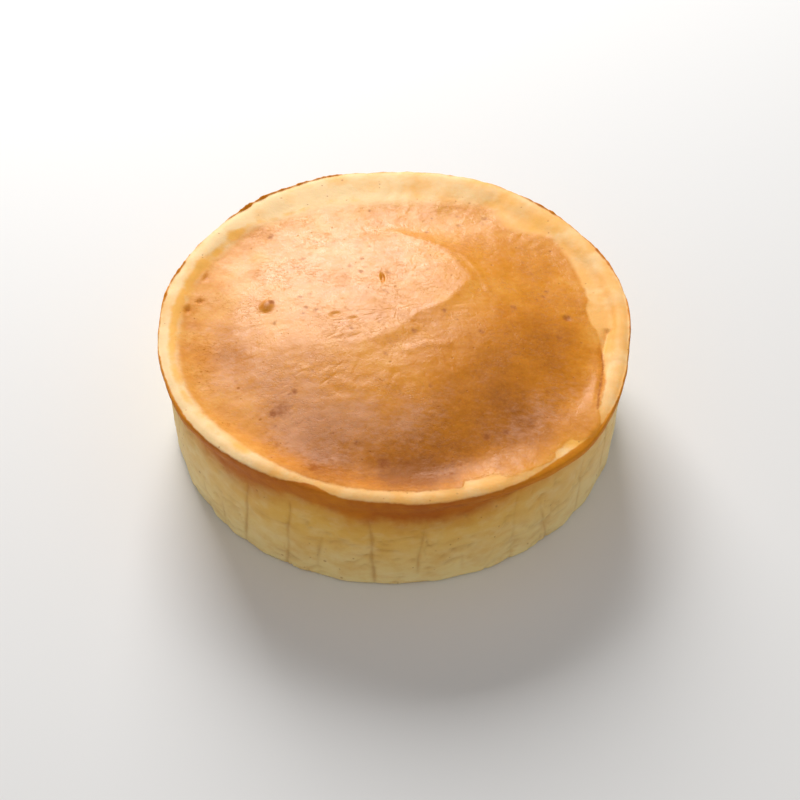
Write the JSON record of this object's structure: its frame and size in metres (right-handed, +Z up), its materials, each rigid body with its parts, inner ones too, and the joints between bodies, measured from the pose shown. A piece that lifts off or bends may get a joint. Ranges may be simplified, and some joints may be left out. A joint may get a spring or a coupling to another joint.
{
  "type": "souffle cheesecake",
  "caption": "Whole round souffle cheesecake with a browned domed top, a pale rim that flares over a pale creased side, and a flat foot.",
  "frame": {"origin": "middle of the flat foot, on the surface that the cake stands on", "axes": "+Z up through the dome, -Y towards the side that the picture shows in front, +X to the right"},
  "size_m": [0.1492, 0.1493, 0.0471],
  "materials": {
    "baked_cheesecake": "baked sponge-like cheesecake: satin golden-brown crust on the dome, pale cream-yellow rim and side"
  },
  "bodies": {
    "root": {"souffle_cheesecake": "baked_cheesecake"}
  },
  "joints": []
}
